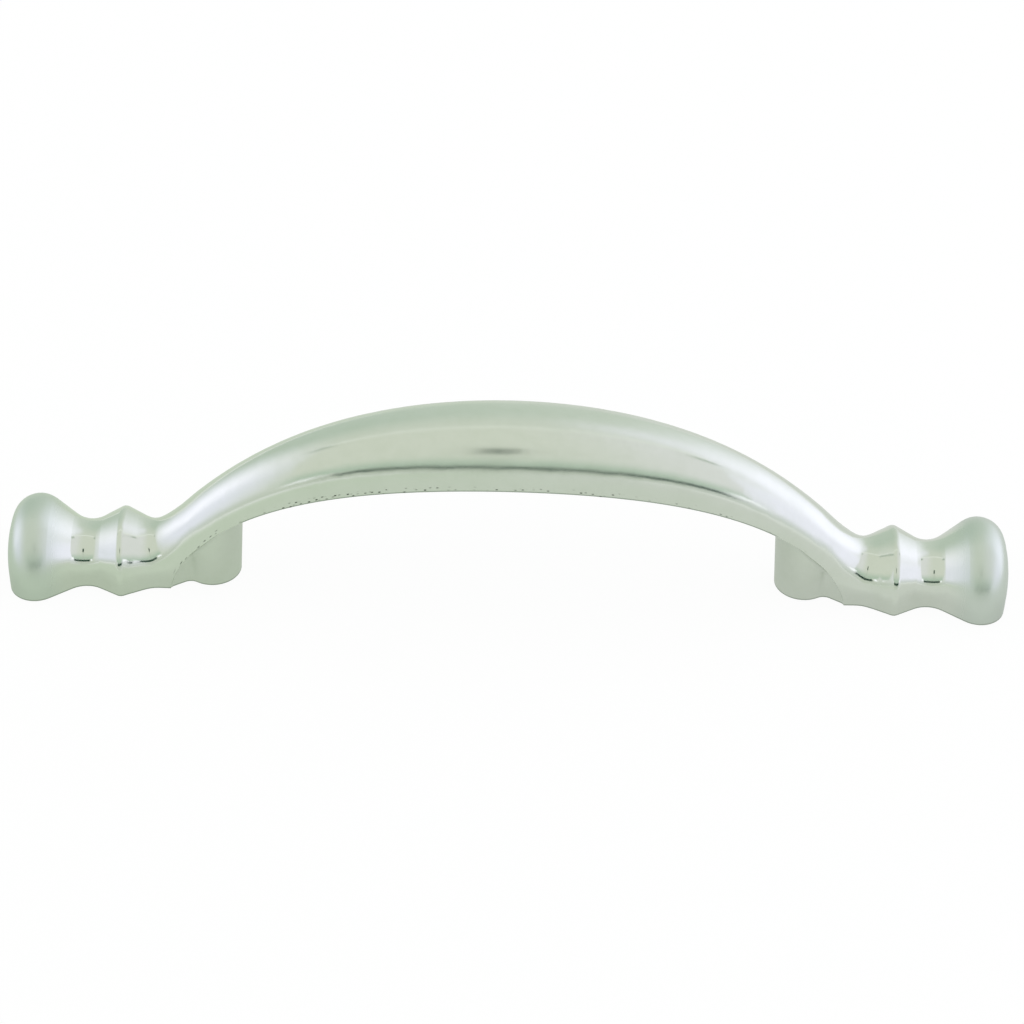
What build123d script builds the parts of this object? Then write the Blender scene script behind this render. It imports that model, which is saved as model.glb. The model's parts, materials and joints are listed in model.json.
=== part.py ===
from build123d import *
import math
import os

# Die-cast drawer pull, one piece, nickel plated. The origin is on the back plane midway between
# the two screws. X runs along the pull, +Z points away from the drawer front. Millimetres.

# Screws: two blind holes, tapped for a No. 8-32 machine screw and cut out to the thread's full size
hole_spacing = 76.2
thread_diameter = 4.17
hole_depth = 8.6
drill_point_angle = 118.0
hole_mouth_bevel = 0.4

# Bow: heights above the back plane. The crest falls away faster towards the waists, and the
# underside is part of an ellipse whose centre lies a little behind the back plane
projection = 26.8
crest_top_radius = 74.5
crest_height_at_waist = 9.45
crest_blend = 3.2
arch_rise = 19.55
arch_centre_drop = 2.2
arch_overrun = 1.25

# Widths of the front, measured from the middle plane
belly_half_width = 6.7
waist_half_width = 4.42

# Turned-looking ends: each step is measured outwards from the one before
waist_beyond_screw = 3.9
ridge_beyond_waist = 7.45
neck_beyond_ridge = 4.35
knob_beyond_neck = 6.6
end_axis_height = 1.92
ridge_radius = 6.27
ridge_round = 0.9
inner_flank_angle = 26.5
inner_neck_hollow = 4.0
neck_radius = 4.37
neck_hollow = 3.4
knob_radius = 7.52
knob_round = 3.3
end_dome_radius = 18.0

# Posts under the bow, drafted for the die and each joined to its end by a web that widens outwards
post_foot_radius = 3.62
post_draft = 3.3
web_half_width_at_post = 1.15
web_inset_at_end = 0.2
web_corner_round = 1.5
post_root_round = 0.8

# The lofted middle stops short of each collar's round by this much. Its sections stand closer
# towards the waists and necks, as points spread evenly over an arc of this half angle would
loft_clearance = 0.08
section_steps = 40
section_crowding = 75.0

# Places along the pull that follow from the sizes above
screw_x = hole_spacing / 2
waist_x = screw_x + waist_beyond_screw
ridge_x = waist_x + ridge_beyond_waist
neck_x = ridge_x + neck_beyond_ridge
knob_x = neck_x + knob_beyond_neck

# Inner neck: a hollow that runs on from the straight waist and into the collar's straight flank
inner_flank = math.radians(inner_flank_angle)
hollow_rise = inner_neck_hollow * (1 - math.cos(inner_flank))
flank_run = (ridge_radius - waist_half_width - hollow_rise) / math.tan(inner_flank)
hollow_outer_x = ridge_x - flank_run
hollow_inner_x = hollow_outer_x - inner_neck_hollow * math.sin(inner_flank)

# Collar: its outer flank is the line from the ridge that touches the neck's hollow, and its round
# takes up this much of each flank
ridge = Vector(ridge_x, ridge_radius)
neck_centre = Vector(neck_x, neck_radius + neck_hollow)
ridge_to_neck = neck_centre - ridge
outer_flank = math.atan2(ridge_to_neck.Y, ridge_to_neck.X) - math.asin(neck_hollow / ridge_to_neck.length)
round_run = ridge_round * math.tan((inner_flank - outer_flank) / 2)
loft_end_x = ridge_x - round_run * math.cos(inner_flank) - loft_clearance


def half_width(x):
    """Half width of the front: full in the middle, slim at the waists, flared to the collars."""
    reach = abs(x)
    if reach < waist_x:
        swell = math.cos(math.pi * reach / (2 * waist_x)) ** 2
        return waist_half_width + (belly_half_width - waist_half_width) * swell
    if reach < hollow_inner_x:
        return waist_half_width
    if reach < hollow_outer_x:
        hollow_height = math.sqrt(inner_neck_hollow**2 - (reach - hollow_inner_x) ** 2)
        return waist_half_width + inner_neck_hollow - hollow_height
    return ridge_radius - (ridge_x - reach) * math.tan(inner_flank)


def crest_height(x):
    """Height of the crest: the bow's own curve, blended by a hollow into the round ends."""
    waist_sag = waist_x**2 / (2 * crest_top_radius)
    shoulder = projection - waist_sag - crest_height_at_waist
    bow = projection - x**2 / (2 * crest_top_radius) - shoulder * (x / waist_x) ** 4
    end = end_axis_height + half_width(x)
    overlap = max(0.0, crest_blend - abs(bow - end)) / crest_blend
    return max(bow, end) + crest_blend * overlap**2 / 4


def crown_height(x):
    """Height of the round crown on an upright section: round when cut square to the bow's run."""
    step = 0.01
    rise_before = crest_height(x - step) - half_width(x - step)
    rise_after = crest_height(x + step) - half_width(x + step)
    slope = (rise_after - rise_before) / (2 * step)
    return half_width(x) * math.sqrt(1 + slope**2)


def upright_section(x):
    """Section across the pull at x: straight walls on the back plane under a round crown."""
    width = half_width(x)
    crown = crown_height(x)
    spring = crest_height(x) - crown
    with BuildSketch(Plane.YZ.offset(x)) as section:
        with BuildLine():
            EllipticalCenterArc((0, spring), width, crown, start_angle=0, arc_size=180)
            Polyline((-width, spring), (-width, 0), (width, 0), (width, spring))
        make_face()
    return section.sketch


def bow_block():
    """The front from collar to collar, still solid down to the back plane."""
    crowding = math.radians(section_crowding)
    sections = []
    for i in range(section_steps + 1):
        place = math.sin(crowding * (2 * i / section_steps - 1)) / math.sin(crowding)
        sections.append(upright_section(loft_end_x * place))
    return loft(sections)


def end_block():
    """One end, from the collar outwards: a half-round front on straight walls."""
    knob_centre = Vector(knob_x, knob_radius - knob_round)
    inner_foot = Vector(loft_end_x, half_width(loft_end_x))
    outer_foot = neck_centre + neck_hollow * Vector(math.sin(outer_flank), -math.cos(outer_flank))

    # Knob flank: the line that touches the neck's hollow and the knob's round on opposite sides
    to_knob = knob_centre - neck_centre
    rise_turn = math.asin((neck_hollow + knob_round) / to_knob.length)
    rise_angle = math.atan2(to_knob.Y, to_knob.X) + rise_turn
    square = Vector(math.sin(rise_angle), -math.cos(rise_angle))
    rise_foot = neck_centre + neck_hollow * square
    rise_head = knob_centre - knob_round * square

    # Domed end: an arc centred on the turning axis that runs on from the knob's round
    dome_angle = math.asin(knob_centre.Y / (end_dome_radius - knob_round))
    dome_centre = Vector(knob_x - knob_centre.Y / math.tan(dome_angle), 0)
    dome_edge = dome_centre + end_dome_radius * Vector(math.cos(dome_angle), math.sin(dome_angle))
    end_x = dome_centre.X + end_dome_radius

    with BuildSketch() as profile:
        with BuildLine():
            Line((loft_end_x, 0), inner_foot)
            Line(inner_foot, ridge)
            Line(ridge, outer_foot)
            ThreePointArc(outer_foot, (neck_x, neck_radius), rise_foot)
            Line(rise_foot, rise_head)
            ThreePointArc(rise_head, (knob_x, knob_radius), dome_edge)
            TangentArc((end_x, 0), dome_edge, tangent=(0, 1))
            Line((end_x, 0), (loft_end_x, 0))
        make_face()
        fillet(profile.vertices().sort_by_distance((ridge.X, ridge.Y))[0], ridge_round)

    half_turned = revolve(profile.sketch, Axis.X, 180)
    outline = profile.sketch + mirror(profile.sketch, Plane.XZ)
    walls = extrude(outline, -end_axis_height)
    return Pos(0, 0, end_axis_height) * (half_turned + walls)


def screw_post(web_end_x):
    """One post and its web, run up past the bow's underside."""
    post_top_radius = post_foot_radius + projection * math.tan(math.radians(post_draft))
    post = Pos(screw_x, 0, projection / 2) * Cone(post_foot_radius, post_top_radius, projection)
    web_half_width_at_end = half_width(web_end_x) - web_inset_at_end
    with BuildSketch() as web:
        Polygon(
            (screw_x, web_half_width_at_post),
            (screw_x, -web_half_width_at_post),
            (web_end_x, -web_half_width_at_end),
            (web_end_x, web_half_width_at_end),
            align=None,
        )
    post = post + extrude(web.sketch, projection)
    corners = post.edges().filter_by(GeomType.HYPERBOLA)
    corners = corners.filter_by_position(Axis.X, screw_x, web_end_x, (False, False))
    return post.fillet(web_corner_round, corners)


def arch_space():
    """The space under the bow: an elliptical arch right through, less the posts and their webs."""
    half_rise = arch_rise + arch_centre_drop
    spring_x = waist_x + arch_overrun
    half_span = spring_x / math.sqrt(1 - (arch_centre_drop / half_rise) ** 2)
    arch = Plane.XZ * Pos(0, -arch_centre_drop) * Ellipse(half_span, half_rise)
    space = extrude(arch, belly_half_width * 2, both=True)
    post = screw_post(spring_x)
    space = space - post - mirror(post, Plane.YZ)
    curves = space.edges().filter_by(GeomType.BSPLINE)
    post_roots = curves.filter_by_position(Axis.Z, post_root_round, projection)
    return space.fillet(post_root_round, post_roots)


def screw_hole():
    """Blind hole for one screw, with a drilled point and a bevelled mouth."""
    radius = thread_diameter / 2
    point = radius / math.tan(math.radians(drill_point_angle / 2))
    with BuildSketch(Plane.XZ) as section:
        Polygon(
            (0, 0),
            (radius + hole_mouth_bevel, 0),
            (radius, hole_mouth_bevel),
            (radius, hole_depth),
            (0, hole_depth + point),
            align=None,
        )
    return revolve(section.sketch, Axis.Z)


def pull_casting():
    """The finished casting."""
    end = end_block()
    body = bow_block() + end + mirror(end, Plane.YZ)
    body = body - arch_space()
    for side in (-1, 1):
        body = body - Pos(side * screw_x, 0, 0) * screw_hole()
    return body


os.makedirs("parts", exist_ok=True)
casting = pull_casting()
casting.label = "pull_casting"
export_step(casting, "parts/pull_casting.step")
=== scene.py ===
import json
import math
import bpy
from mathutils import Matrix, Vector


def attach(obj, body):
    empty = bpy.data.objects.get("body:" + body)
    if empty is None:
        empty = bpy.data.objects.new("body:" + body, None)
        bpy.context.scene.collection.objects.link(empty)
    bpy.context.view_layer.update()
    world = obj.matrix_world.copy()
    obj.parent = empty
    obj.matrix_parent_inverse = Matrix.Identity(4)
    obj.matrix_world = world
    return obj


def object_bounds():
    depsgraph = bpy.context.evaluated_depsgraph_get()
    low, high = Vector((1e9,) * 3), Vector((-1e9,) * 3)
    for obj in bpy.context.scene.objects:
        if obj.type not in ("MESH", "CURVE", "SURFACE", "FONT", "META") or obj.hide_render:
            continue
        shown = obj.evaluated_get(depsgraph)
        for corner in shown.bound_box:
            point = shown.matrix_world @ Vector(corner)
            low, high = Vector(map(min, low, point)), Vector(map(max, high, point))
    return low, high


# Arched drawer pull: one die-cast piece, polished and nickel plated, lying on its flat back.
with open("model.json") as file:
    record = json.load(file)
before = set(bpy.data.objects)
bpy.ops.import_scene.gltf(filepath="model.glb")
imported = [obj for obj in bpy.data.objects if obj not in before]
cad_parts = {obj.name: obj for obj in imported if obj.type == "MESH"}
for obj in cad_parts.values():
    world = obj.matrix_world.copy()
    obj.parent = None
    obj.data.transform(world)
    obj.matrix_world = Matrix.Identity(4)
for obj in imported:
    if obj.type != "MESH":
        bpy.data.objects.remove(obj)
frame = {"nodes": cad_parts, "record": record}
cad_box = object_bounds()
bpy.ops.object.select_all(action="DESELECT")


# The casting: zinc alloy, die cast in one piece, polished on its show faces and nickel plated.
# The knobs are satin and the necks bright. The back, the underside and the posts are plated as
# they came from the die. Polishing opened small pores along the bow's lower arris and by the posts.
pull = frame["nodes"]["pull_casting"]

nickel_colour = (0.725, 0.77, 0.70, 1)
nickel_cloud_colour = (0.695, 0.745, 0.665, 1)
knob_colour = (0.645, 0.71, 0.645, 1)
# Painted shade for the sharp edges: the arris line and the contact shadow along the rim of the back
painted_edge_shade_colour = (0.36, 0.41, 0.35, 1)
pore_colour = (0.10, 0.115, 0.095, 1)

bow_middle_roughness = 0.185
bow_side_roughness = 0.13
neck_roughness = 0.085
knob_roughness = 0.33
cast_roughness = 0.34
pore_roughness = 0.5
cloud_dulling = 0.035

# Places along the pull where the finish changes, in metres from its middle. The painted dark line
# on the arris fades out over the last short run before each post.
bow_middle = 0.006
bow_side = 0.030
bow_end = 0.0405
neck_start = 0.0445
neck_end = 0.0560
knob_start = 0.0590
post_start = 0.0342
arris_shade_run = 0.001

# The bow's lower arris: part of an ellipse whose centre lies a little behind the back plane
arch_foot = 0.04325
arch_top = 0.01955
arch_centre_drop = 0.0022
arch_half_rise = arch_top + arch_centre_drop
arch_half_span = arch_foot / math.sqrt(1 - (arch_centre_drop / arch_half_rise) ** 2)

# Fades, each a pair: where it starts and where it is full. The first is in the normal's Z, the
# last in metres above the back plane, and the others in metres above the arris.
back_facing_fade = (-0.35, -0.75)
inside_arch_fade = (-0.0002, -0.0006)
pores_top_fade = (0.0009, 0.0006)
pores_foot_fade = (-0.0005, -0.0002)
arris_top_fade = (0.00024, 0.00006)
arris_foot_fade = (-0.0002, 0.0)
back_rim_fade = (0.00026, 0.00006)

# Pores: cells per metre that may hold a pit, and how a place changes a cell's luck in getting one
pit_cells = 1250
pit_flattening = 1.6
pit_patches = 60
pit_left_luck = 0.06
pit_right_luck = -0.18
pit_side_start = 0.018
pit_side_end = -0.002
pit_post_luck = -0.36
pit_post_run = 0.008
pit_luck_fade = (0.75, 1.6)
pit_rim_fade = (0.30, 0.10)
pore_sinking = 4.0

# Relief of the surface: waves per metre, strength, and height in metres
line_scale = (2600, 120, 120)
line_strength = 0.10
line_height = 0.00002
wave_scale = 260
wave_strength = 0.5
wave_height = 0.000016
grain_scale = 2600
grain_strength = 0.35
grain_height = 0.00003


def math_node(tree, operation, first, second=None):
    """A Math node whose inputs are sockets or plain numbers. Gives its output."""
    node = tree.nodes.new("ShaderNodeMath")
    node.operation = operation
    for socket, value in zip(node.inputs, (first, second)):
        if isinstance(value, bpy.types.NodeSocket):
            tree.links.new(value, socket)
        elif value is not None:
            socket.default_value = value
    return node.outputs["Value"]


def soft_step(tree, value, start, end, low=0.0, high=1.0):
    """A smooth change from low to high while the value goes from start to end."""
    node = tree.nodes.new("ShaderNodeMapRange")
    node.interpolation_type = "SMOOTHSTEP"
    tree.links.new(value, node.inputs["Value"])
    node.inputs["From Min"].default_value = start
    node.inputs["From Max"].default_value = end
    node.inputs["To Min"].default_value = low
    node.inputs["To Max"].default_value = high
    return node.outputs["Result"]


def blended(tree, kind, amount, first, second):
    """A Mix node of the given kind between two sockets or plain values."""
    node = tree.nodes.new("ShaderNodeMix")
    node.data_type = kind
    # A Mix node holds a set of sockets for each kind, of which only one set is in use
    live = [socket for socket in node.inputs if socket.enabled]
    tree.links.new(amount, live[0])
    for socket, value in zip(live[1:], (first, second)):
        if isinstance(value, bpy.types.NodeSocket):
            tree.links.new(value, socket)
        else:
            socket.default_value = value
    return [socket for socket in node.outputs if socket.enabled][0]


def noise(tree, place, scale, detail, roughness=0.5):
    """A Noise texture of so many waves per metre. Gives its height."""
    node = tree.nodes.new("ShaderNodeTexNoise")
    node.inputs["Scale"].default_value = scale
    node.inputs["Detail"].default_value = detail
    node.inputs["Roughness"].default_value = roughness
    tree.links.new(place, node.inputs["Vector"])
    return node.outputs["Fac"]


def relief(tree, shape, strength, height, under=None):
    """A Bump node that lays a shape over the relief under it. Gives the normal."""
    node = tree.nodes.new("ShaderNodeBump")
    node.inputs["Strength"].default_value = strength
    node.inputs["Distance"].default_value = height
    tree.links.new(shape, node.inputs["Height"])
    if under is not None:
        tree.links.new(under, node.inputs["Normal"])
    return node.outputs["Normal"]


def plating_clouds():
    """Node group: patches a few millimetres wide where plating is a little darker and duller."""
    cloud_scale = 150
    cloud_detail = 7
    cloud_roughness = 0.78
    cloud_start = 0.58
    cloud_full = 0.36
    group = bpy.data.node_groups.new("plating_clouds", "ShaderNodeTree")
    sockets = group.interface
    sockets.new_socket("Vector", in_out="INPUT", socket_type="NodeSocketVector")
    sockets.new_socket("Bright", in_out="INPUT", socket_type="NodeSocketColor")
    sockets.new_socket("Clouded", in_out="INPUT", socket_type="NodeSocketColor")
    sockets.new_socket("Colour", in_out="OUTPUT", socket_type="NodeSocketColor")
    sockets.new_socket("Amount", in_out="OUTPUT", socket_type="NodeSocketFloat")
    given = group.nodes.new("NodeGroupInput")
    result = group.nodes.new("NodeGroupOutput")
    shape = noise(group, given.outputs["Vector"], cloud_scale, cloud_detail, cloud_roughness)
    amount = group.nodes.new("ShaderNodeMapRange")
    amount.inputs["From Min"].default_value = cloud_start
    amount.inputs["From Max"].default_value = cloud_full
    group.links.new(shape, amount.inputs["Value"])
    cloudiness = amount.outputs["Result"]
    colour = blended(group, "RGBA", cloudiness, given.outputs["Bright"], given.outputs["Clouded"])
    group.links.new(colour, result.inputs["Colour"])
    group.links.new(cloudiness, result.inputs["Amount"])
    return group


clouds_group = plating_clouds()
nickel = bpy.data.materials.new("nickel_plate_polished")
nickel.use_nodes = True
tree = nickel.node_tree
plating = tree.nodes["Principled BSDF"]
place = tree.nodes.new("ShaderNodeTexCoord").outputs["Object"]
split_place = tree.nodes.new("ShaderNodeSeparateXYZ")
tree.links.new(place, split_place.inputs["Vector"])
along = split_place.outputs["X"]
height = split_place.outputs["Z"]
reach = math_node(tree, "ABSOLUTE", along)
facing = tree.nodes.new("ShaderNodeNewGeometry")
split_normal = tree.nodes.new("ShaderNodeSeparateXYZ")
tree.links.new(facing.outputs["Normal"], split_normal.inputs["Vector"])

clouds = tree.nodes.new("ShaderNodeGroup")
clouds.node_tree = clouds_group
clouds.inputs["Bright"].default_value = nickel_colour
clouds.inputs["Clouded"].default_value = nickel_cloud_colour
tree.links.new(place, clouds.inputs["Vector"])

# Height above the arris
span_share = math_node(tree, "DIVIDE", reach, arch_half_span)
span_left = math_node(tree, "SUBTRACT", 1.0, math_node(tree, "POWER", span_share, 2.0))
rise_share = math_node(tree, "SQRT", math_node(tree, "MAXIMUM", span_left, 0.0))
rise = math_node(tree, "MULTIPLY", rise_share, arch_half_rise)
arris_height = math_node(tree, "SUBTRACT", rise, arch_centre_drop)
above_arris = math_node(tree, "SUBTRACT", height, arris_height)

# As cast: faces that look towards the drawer front, and the posts and webs inside the arch
looks_back = soft_step(tree, split_normal.outputs["Z"], *back_facing_fade)
polished = math_node(tree, "SUBTRACT", 1.0, looks_back)
inside_arch = soft_step(tree, above_arris, *inside_arch_fade)
as_cast = math_node(tree, "MAXIMUM", looks_back, inside_arch)

# Pores: small pits in a row along the arris, fewer of them right of the middle and by the posts
pores_top = soft_step(tree, above_arris, *pores_top_fade)
pores_foot = soft_step(tree, above_arris, *pores_foot_fade)
near_arris = math_node(tree, "MULTIPLY", pores_top, pores_foot)
near_arris = math_node(tree, "MULTIPLY", near_arris, polished)
pit_place = tree.nodes.new("ShaderNodeCombineXYZ")
tree.links.new(along, pit_place.inputs["X"])
tree.links.new(math_node(tree, "MULTIPLY", above_arris, pit_flattening), pit_place.inputs["Y"])
pits = tree.nodes.new("ShaderNodeTexVoronoi")
pits.voronoi_dimensions = "2D"
pits.inputs["Scale"].default_value = pit_cells
tree.links.new(pit_place.outputs["Vector"], pits.inputs["Vector"])
pit_chance = tree.nodes.new("ShaderNodeSeparateColor")
tree.links.new(pits.outputs["Color"], pit_chance.inputs["Color"])
patch_luck = noise(tree, place, pit_patches, detail=1)
side_luck = soft_step(tree, along, pit_side_start, pit_side_end, pit_right_luck, pit_left_luck)
post_luck = soft_step(tree, reach, post_start - pit_post_run, post_start, 0.0, pit_post_luck)
pit_luck = math_node(tree, "ADD", pit_chance.outputs["Red"], patch_luck)
pit_luck = math_node(tree, "ADD", pit_luck, side_luck)
pit_luck = math_node(tree, "ADD", pit_luck, post_luck)
pit_depth = soft_step(tree, pit_luck, *pit_luck_fade)
pit_shape = soft_step(tree, pits.outputs["Distance"], *pit_rim_fade)
pore = math_node(tree, "MULTIPLY", pit_shape, pit_depth)
pore = math_node(tree, "MULTIPLY", pore, near_arris)

# Painted shade on the sharp edges: a dark line on the arris and a contact shadow on the back's rim
arris_top = soft_step(tree, above_arris, *arris_top_fade)
arris_foot = soft_step(tree, above_arris, *arris_foot_fade)
between_posts = soft_step(tree, reach, post_start, post_start - arris_shade_run)
arris_shade_mask = math_node(tree, "MULTIPLY", arris_top, arris_foot)
arris_shade_mask = math_node(tree, "MULTIPLY", arris_shade_mask, between_posts)
back_rim_shadow_mask = soft_step(tree, height, *back_rim_fade)
edge_shade_mask = math_node(tree, "MAXIMUM", arris_shade_mask, back_rim_shadow_mask)
edge_shade_mask = math_node(tree, "MULTIPLY", edge_shade_mask, polished)

# Finish along the pull: the bow bright, the necks brightest, the knobs satin
on_bow = soft_step(tree, reach, neck_start, bow_end)
on_knob = soft_step(tree, reach, neck_end, knob_start)
bow_polish = soft_step(tree, reach, bow_middle, bow_side, bow_middle_roughness, bow_side_roughness)
polish = blended(tree, "FLOAT", on_bow, neck_roughness, bow_polish)
polish = blended(tree, "FLOAT", on_knob, polish, knob_roughness)
clouded_polish = math_node(tree, "MULTIPLY", clouds.outputs["Amount"], cloud_dulling)
polish = math_node(tree, "ADD", polish, clouded_polish)
polish = blended(tree, "FLOAT", as_cast, polish, cast_roughness)
polish = blended(tree, "FLOAT", pore, polish, pore_roughness)

# Polishing lines round the bow, the soft waves that polishing leaves, and the grain of the die
line_place = tree.nodes.new("ShaderNodeMapping")
line_place.inputs["Scale"].default_value = line_scale
tree.links.new(place, line_place.inputs["Vector"])
lines = noise(tree, line_place.outputs["Vector"], scale=1, detail=3)
waves = noise(tree, place, wave_scale, detail=1)
grain = noise(tree, place, grain_scale, detail=3)
cast_grain = math_node(tree, "MULTIPLY", grain, as_cast)
sunk_pore = math_node(tree, "MULTIPLY", pore, pore_sinking)
cast_grain = math_node(tree, "SUBTRACT", cast_grain, sunk_pore)
surface = relief(tree, lines, line_strength, line_height)
surface = relief(tree, waves, wave_strength, wave_height, surface)
surface = relief(tree, cast_grain, grain_strength, grain_height, surface)

plating.inputs["Metallic"].default_value = 1
surface_colour = blended(tree, "RGBA", on_knob, clouds.outputs["Colour"], knob_colour)
# Painted shade along the arris, and a painted contact shadow along the rim of the back
surface_colour = blended(tree, "RGBA", edge_shade_mask, surface_colour, painted_edge_shade_colour)
surface_colour = blended(tree, "RGBA", pore, surface_colour, pore_colour)
tree.links.new(surface_colour, plating.inputs["Base Color"])
tree.links.new(polish, plating.inputs["Roughness"])
tree.links.new(surface, plating.inputs["Normal"])
pull.material_slots[0].material = nickel


# The screw threads: No. 8-32, cut into the posts with a tap before plating. Each is one ridge that
# winds up the wall of its hole, a little sunk into it. The plating is thinner and duller down there.
mounts = {mount["name"]: mount for mount in frame["record"]["mounts"]}
hole_sizes = mounts["screw_holes"]["dims"]
millimetre = 0.001
screw_x = hole_sizes["spacing_x_mm"] * millimetre / 2
hole_radius = hole_sizes["hole_r_mm"] * millimetre
thread_sink = 0.000015
thread_root_radius = hole_radius + thread_sink
thread_crest_radius = 0.001725
thread_pitch = 0.000794
thread_turns = 9
thread_base = 0.00062
thread_crest = 0.0002
thread_start = 0.00075
thread_segments = 40
thread_smooth_angle = math.radians(35)

thread_colour = (0.60, 0.63, 0.57, 1)
thread_cloud_colour = (0.45, 0.47, 0.42, 1)
thread_roughness = 0.3
thread_cloud_dulling = 0.15

thread_metal = bpy.data.materials.new("thread_nickel")
thread_metal.use_nodes = True
tree = thread_metal.node_tree
plating = tree.nodes["Principled BSDF"]
place = tree.nodes.new("ShaderNodeTexCoord").outputs["Object"]
clouds = tree.nodes.new("ShaderNodeGroup")
clouds.node_tree = clouds_group
clouds.inputs["Bright"].default_value = thread_colour
clouds.inputs["Clouded"].default_value = thread_cloud_colour
tree.links.new(place, clouds.inputs["Vector"])
tree.links.new(clouds.outputs["Colour"], plating.inputs["Base Color"])
clouded_polish = math_node(tree, "MULTIPLY", clouds.outputs["Amount"], thread_cloud_dulling)
thread_polish = math_node(tree, "ADD", clouded_polish, thread_roughness)
tree.links.new(thread_polish, plating.inputs["Roughness"])
plating.inputs["Metallic"].default_value = 1

# Section of the ridge: a plane stood upright beside the hole's axis, narrowed towards the axis
thread_height = thread_root_radius - thread_crest_radius
thread_middle_radius = (thread_root_radius + thread_crest_radius) / 2
bpy.ops.mesh.primitive_plane_add(size=1, rotation=(math.pi / 2, 0, 0))
thread_left = bpy.context.object
thread_left.name = "thread_left"
thread_left.scale = (thread_height, thread_base, 1)
thread_left.location = (thread_middle_radius, 0, thread_start)
bpy.ops.object.transform_apply(location=True, rotation=True, scale=True)
bpy.ops.object.mode_set(mode="EDIT")
bpy.ops.mesh.select_mode(type="VERT")
bpy.ops.mesh.delete(type="ONLY_FACE")
bpy.ops.mesh.select_all(action="DESELECT")
bpy.ops.object.mode_set(mode="OBJECT")
for corner in thread_left.data.vertices:
    corner.select = corner.co.x < thread_middle_radius
bpy.ops.object.mode_set(mode="EDIT")
bpy.ops.transform.resize(value=(1, 1, thread_crest / thread_base))
bpy.ops.object.mode_set(mode="OBJECT")

# Wind it up the hole and close its two ends
winding = thread_left.modifiers.new("winding", "SCREW")
winding.axis = "Z"
winding.angle = 2 * math.pi
winding.screw_offset = thread_pitch
winding.iterations = thread_turns
winding.steps = thread_segments
winding.render_steps = thread_segments
bpy.ops.object.modifier_apply(modifier="winding")
bpy.ops.object.mode_set(mode="EDIT")
bpy.ops.mesh.select_all(action="SELECT")
bpy.ops.mesh.fill_holes(sides=4)
bpy.ops.mesh.normals_make_consistent(inside=False)
bpy.ops.object.mode_set(mode="OBJECT")
bpy.ops.object.shade_smooth_by_angle(angle=thread_smooth_angle)
thread_left.data.materials.append(thread_metal)

# Put it in the left post, and a copy of it in the right one
thread_left.location = (-screw_x, 0, 0)
bpy.ops.object.transform_apply(location=True, rotation=True, scale=True)
bpy.ops.object.duplicate(linked=False)
thread_right = bpy.context.object
thread_right.name = "thread_right"
thread_right.location = (2 * screw_x, 0, 0)
bpy.ops.object.transform_apply(location=True, rotation=True, scale=True)
for thread in (thread_left, thread_right):
    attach(thread, "root")
bpy.ops.object.select_all(action="DESELECT")


# The camera: a long lens, so that the pull shows little perspective. It stands in front of the pull
# and above it, turned a little so that the right end drops.
camera_aim = Vector((0.00033, 0.000075, 0.0105))
camera_height_angle = math.radians(40.714)
camera_distance = 0.36
camera_turn = math.radians(1.455)
camera_lens = 99.56
camera_sensor = 36
camera_near_limit = 0.01

to_camera = Vector((0, -math.cos(camera_height_angle), math.sin(camera_height_angle)))
camera_place = Matrix.Translation(camera_aim + camera_distance * to_camera)
camera_tilt = Matrix.Rotation(math.pi / 2 - camera_height_angle, 4, "X")
camera_roll = Matrix.Rotation(camera_turn, 4, "Z")
bpy.ops.object.camera_add()
camera = bpy.context.object
camera.matrix_world = camera_place @ camera_tilt @ camera_roll
camera.data.lens = camera_lens
camera.data.sensor_width = camera_sensor
camera.data.clip_start = camera_near_limit
bpy.context.scene.camera = camera


# The floor: a plain white table top. The camera sees it white, with a little of the pull's shadow
# left, and the metal shows painted light on it, pale grey and greener on the left. It is clear from
# below, for views of the back.
table_size = 4
table_drop = 0.0002
table_paint_colour = (0.85, 0.85, 0.85, 1)
# Painted light on the table, seen only in the metal: greener on the left, paler on the right,
# brighter out to the sides
table_left_painted_light = (0.685, 0.76, 0.645, 1)
table_right_painted_light = (0.765, 0.785, 0.755, 1)
table_side_painted_light = (0.96, 0.97, 0.97, 1)
table_white = (1.03, 1.03, 1.03, 1)
table_shadow_share = 0.1

# Fades along the table, in metres from the pull's middle
table_right_fade = (-0.08, 0.08)
table_side_fade = (0.07, 0.23)

# The pull keeps some light off the table close by, which darkens the foot of its walls
table_shade = 0.87
table_shade_reach = 0.007
shade_half_length = cad_box[1][0]
shade_half_width = 0.0055

bpy.ops.mesh.primitive_plane_add(size=table_size, location=(0, 0, -table_drop))
floor = bpy.context.object
floor.name = "floor"
white_table = bpy.data.materials.new("white_table")
white_table.use_nodes = True
tree = white_table.node_tree
tree.nodes.clear()
table_place = tree.nodes.new("ShaderNodeTexCoord").outputs["Object"]
split_table = tree.nodes.new("ShaderNodeSeparateXYZ")
tree.links.new(table_place, split_table.inputs["Vector"])
table_along = math_node(tree, "ABSOLUTE", split_table.outputs["X"])
table_across = math_node(tree, "ABSOLUTE", split_table.outputs["Y"])
seen_by = tree.nodes.new("ShaderNodeLightPath")
by_camera = seen_by.outputs["Is Camera Ray"]

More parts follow.
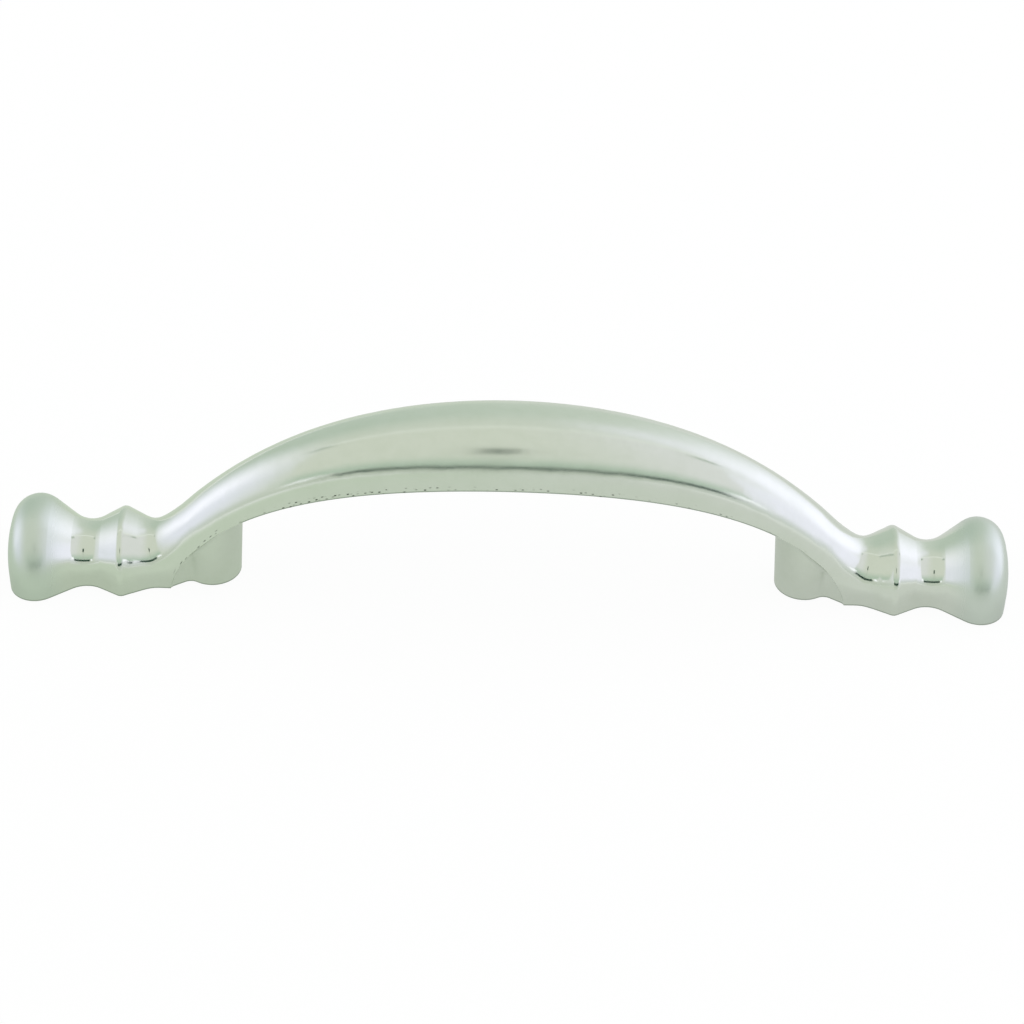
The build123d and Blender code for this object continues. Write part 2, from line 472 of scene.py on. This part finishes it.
# What the camera and the metal see of it: to the metal, painted light, greener on the left and
# brighter out to the sides by the lamps, and a painted shadow close to the pull
to_right = soft_step(tree, split_table.outputs["X"], *table_right_fade)
to_side = soft_step(tree, table_along, *table_side_fade)
mirrored_painted_light = blended(tree, "RGBA", to_right, table_left_painted_light, table_right_painted_light)
mirrored_painted_light = blended(tree, "RGBA", to_side, mirrored_painted_light, table_side_painted_light)
seen_colour = blended(tree, "RGBA", by_camera, mirrored_painted_light, table_white)
past_end = math_node(tree, "SUBTRACT", table_along, shade_half_length)
past_wall = math_node(tree, "SUBTRACT", table_across, shade_half_width)
from_pull = math_node(tree, "MAXIMUM", past_end, past_wall)
table_light = soft_step(tree, from_pull, 0.0, table_shade_reach, table_shade, 1.0)
table_light = math_node(tree, "MAXIMUM", table_light, by_camera)
table_seen = tree.nodes.new("ShaderNodeEmission")
tree.links.new(seen_colour, table_seen.inputs["Color"])
tree.links.new(table_light, table_seen.inputs["Strength"])

# Its own paint, which takes the pull's shadow, then both together and the clear underside
table_paint = tree.nodes.new("ShaderNodeBsdfDiffuse")
table_paint.inputs["Color"].default_value = table_paint_colour
seen = math_node(tree, "MAXIMUM", by_camera, seen_by.outputs["Is Glossy Ray"])
seen = math_node(tree, "MAXIMUM", seen, seen_by.outputs["Is Transmission Ray"])
seen_share = math_node(tree, "MULTIPLY", seen, 1 - table_shadow_share)
table_top = tree.nodes.new("ShaderNodeMixShader")
tree.links.new(seen_share, table_top.inputs["Fac"])
tree.links.new(table_paint.outputs["BSDF"], table_top.inputs[1])
tree.links.new(table_seen.outputs["Emission"], table_top.inputs[2])
table_clear = tree.nodes.new("ShaderNodeBsdfTransparent")
table_side = tree.nodes.new("ShaderNodeNewGeometry")
table_both = tree.nodes.new("ShaderNodeMixShader")
tree.links.new(table_side.outputs["Backfacing"], table_both.inputs["Fac"])
tree.links.new(table_top.outputs["Shader"], table_both.inputs[1])
tree.links.new(table_clear.outputs["BSDF"], table_both.inputs[2])
table_out = tree.nodes.new("ShaderNodeOutputMaterial")
tree.links.new(table_both.outputs["Shader"], table_out.inputs["Surface"])
floor.data.materials.append(white_table)


# The light tent: pale cloth all round, lit from outside by a lamp on each side, the right one the
# brighter. Places on it are angles in degrees from the line to the camera, sideways and upwards.
tent_low_colour = (0.77, 0.80, 0.73, 1)
tent_high_left_colour = (0.605, 0.685, 0.61, 1)
tent_high_right_colour = (0.71, 0.765, 0.705, 1)
tent_skirt_colour = (0.60, 0.655, 0.58, 1)
tent_white = (1, 1, 1, 1)
left_low_colour = (1.01, 1.0, 1.17, 1)
left_high_colour = (1.31, 1.27, 1.47, 1)
right_low_colour = (1.12, 1.09, 1.28, 1)
right_high_colour = (1.36, 1.32, 1.53, 1)

# Fades, each a pair of angles: where it starts and where it is full
tent_high_fade = (55, 105)
tent_right_fade = (-28, 20)
left_lamp_fade = (-33, -72)
right_lamp_fade = (8, 62)
fold_inner_fade = (0, 22)
fold_outer_fade = (46, 26)
skirt_fade = (-20, -42)

# Heights, each a pair of angles: the middle, and how far it spreads up and down from there
left_lamp_height = (85, 85)
right_lamp_height = (105, 100)
right_lag_height = (45, 34)
fold_height = (75, 24)

right_lag_angle = 14
fold_strength = 0.38
skirt_strength = 0.7

tent = bpy.data.worlds.new("light_tent")
bpy.context.scene.world = tent
tent.use_nodes = True
tree = tent.node_tree
tree.nodes.clear()
direction = tree.nodes.new("ShaderNodeTexCoord").outputs["Generated"]


def pointing(tree, direction, axis):
    """How far a direction points along an axis."""
    node = tree.nodes.new("ShaderNodeVectorMath")
    node.operation = "DOT_PRODUCT"
    tree.links.new(direction, node.inputs[0])
    node.inputs[1].default_value = axis
    return node.outputs["Value"]


def angle_step(tree, angle, start, end, low=0.0, high=1.0):
    """A soft step between two angles in degrees."""
    return soft_step(tree, angle, math.radians(start), math.radians(end), low, high)


def lit_height(tree, upwards, middle, spread):
    """One at a height in degrees, fading to nothing above and below it."""
    apart = math_node(tree, "SUBTRACT", upwards, math.radians(middle))
    apart = math_node(tree, "ABSOLUTE", apart)
    return angle_step(tree, apart, spread, 0)


rightwards = Vector((1, 0, 0))
view_up = to_camera.cross(rightwards)
sideways = math_node(tree, "ARCSINE", pointing(tree, direction, rightwards))
up_share = pointing(tree, direction, view_up)
camera_share = pointing(tree, direction, to_camera)
upwards = math_node(tree, "ARCTAN2", up_share, camera_share)

tent_height = angle_step(tree, upwards, *tent_high_fade)
tent_across = angle_step(tree, sideways, *tent_right_fade)
tent_high_colour = blended(tree, "RGBA", tent_across, tent_high_left_colour, tent_high_right_colour)
tent_colour = blended(tree, "RGBA", tent_height, tent_low_colour, tent_high_colour)

left_height = lit_height(tree, upwards, *left_lamp_height)
left_colour = blended(tree, "RGBA", left_height, left_low_colour, left_high_colour)
left_share = angle_step(tree, sideways, *left_lamp_fade)
tent_colour = blended(tree, "RGBA", left_share, tent_colour, left_colour)

# The right lamp's glow starts further out at the height of the camera's cloth
right_height = lit_height(tree, upwards, *right_lamp_height)
right_colour = blended(tree, "RGBA", right_height, right_low_colour, right_high_colour)
right_lag = lit_height(tree, upwards, *right_lag_height)
right_lag = math_node(tree, "MULTIPLY", right_lag, math.radians(right_lag_angle))
right_edge = math_node(tree, "SUBTRACT", sideways, right_lag)
right_share = angle_step(tree, right_edge, *right_lamp_fade)
tent_colour = blended(tree, "RGBA", right_share, tent_colour, right_colour)

# A fold of the cloth above the camera catches the right lamp
fold_inner = angle_step(tree, sideways, *fold_inner_fade, high=fold_strength)
fold_outer = angle_step(tree, sideways, *fold_outer_fade)
fold_share = math_node(tree, "MULTIPLY", fold_inner, fold_outer)
fold_share = math_node(tree, "MULTIPLY", fold_share, lit_height(tree, upwards, *fold_height))
tent_colour = blended(tree, "RGBA", fold_share, tent_colour, right_low_colour)

# The skirt of the cloth, near the table, gets less light
skirt_share = angle_step(tree, upwards, *skirt_fade, high=skirt_strength)
tent_colour = blended(tree, "RGBA", skirt_share, tent_colour, tent_skirt_colour)

# The camera itself sees plain white
seen_by = tree.nodes.new("ShaderNodeLightPath")
tent_colour = blended(tree, "RGBA", seen_by.outputs["Is Camera Ray"], tent_colour, tent_white)
tent_cloth = tree.nodes.new("ShaderNodeBackground")
tree.links.new(tent_colour, tent_cloth.inputs["Color"])
tent_out = tree.nodes.new("ShaderNodeOutputWorld")
tree.links.new(tent_cloth.outputs["Background"], tent_out.inputs["Surface"])


# The tent's front: beige cloth hangs round the camera under a pale rail, with painted shade towards
# its hem, and held by a clip at each upper corner. Below the hem the dark room shows, and at the
# hem's ends the table's edge catches the lamps. All of it is seen only in the metal.
cloth_colour = (0.785, 0.81, 0.735, 1)
cloth_right_colour = (0.885, 0.88, 0.90, 1)
# Painted shade on the cloth towards its hem
cloth_hem_shade_colour = (0.52, 0.64, 0.54, 1)
dark_colour = (0.02, 0.06, 0.04, 1)
stand_colour = (0.55, 0.59, 0.53, 1)
rail_colour = (0.98, 1.0, 0.97, 1)
clip_colour = (0.50, 0.56, 0.50, 1)
glint_colour = (1.3, 1.28, 1.4, 1)

cloth_distance = 0.40
card_distance = 0.39
cloth_right_fade = (-0.05, 0.36)
cloth_hem_angle = math.radians(-27)
cloth_hem_fade = (cloth_distance * math.tan(cloth_hem_angle), 0.0)


def front_card(name, sides, heights, distance, colour):
    """A flat card square to the line to the camera, between two angles sideways and two upwards."""
    left, right = sides
    low, high = heights
    bpy.ops.mesh.primitive_plane_add(size=2)
    card = bpy.context.object
    card.name = name
    for corner in card.data.vertices:
        across = math.radians(left if corner.co.x < 0 else right)
        upward = math.radians(low if corner.co.y < 0 else high)
        corner.co.x = distance * math.tan(across) / math.cos(upward)
        corner.co.y = distance * math.tan(upward)
    card.matrix_world = Matrix.Translation(camera_aim + distance * to_camera) @ camera_tilt
    card_material = bpy.data.materials.new(name)
    card_material.use_nodes = True
    nodes = card_material.node_tree.nodes
    nodes.clear()
    light = nodes.new("ShaderNodeEmission")
    light.name = "light"
    light.inputs["Color"].default_value = colour
    out = nodes.new("ShaderNodeOutputMaterial")
    card_material.node_tree.links.new(light.outputs["Emission"], out.inputs["Surface"])
    card.data.materials.append(card_material)
    card.visible_camera = False
    return card


# The cloth, paler towards the right lamp and with painted shade towards the hem
front_cloth = front_card("front_cloth", (-40, 43), (-25, 57), cloth_distance, cloth_colour)
tree = front_cloth.active_material.node_tree
cloth_place = tree.nodes.new("ShaderNodeTexCoord").outputs["Object"]
split_cloth = tree.nodes.new("ShaderNodeSeparateXYZ")
tree.links.new(cloth_place, split_cloth.inputs["Vector"])
cloth_right = soft_step(tree, split_cloth.outputs["X"], *cloth_right_fade)
above_hem = soft_step(tree, split_cloth.outputs["Y"], *cloth_hem_fade)
cloth_shade = blended(tree, "RGBA", cloth_right, cloth_colour, cloth_right_colour)
cloth_shade = blended(tree, "RGBA", above_hem, cloth_hem_shade_colour, cloth_shade)
tree.links.new(cloth_shade, tree.nodes["light"].inputs["Color"])

# What shows beside the cloth and before it: angles from left to right, then from low to high
front_card("front_gap", (-29, 37.5), (-32.5, -26), card_distance, dark_colour)
front_card("front_camera", (-5.2, 0.6), (-1, 11), card_distance, dark_colour)
front_card("front_stand", (-3.4, -1.6), (-25, 0), card_distance, stand_colour)
front_card("front_rail", (-40, 43), (57, 59.5), card_distance, rail_colour)
front_card("front_clip_left", (-44, -38), (51, 58), card_distance, clip_colour)
front_card("front_clip_right", (39, 46), (51, 58), card_distance, clip_colour)
front_card("front_glint_left", (-38, -33), (-31, -26), card_distance, glint_colour)
front_card("front_glint_right", (40, 46), (-29, -21), card_distance, glint_colour)

bpy.context.scene.view_settings.view_transform = "Standard"
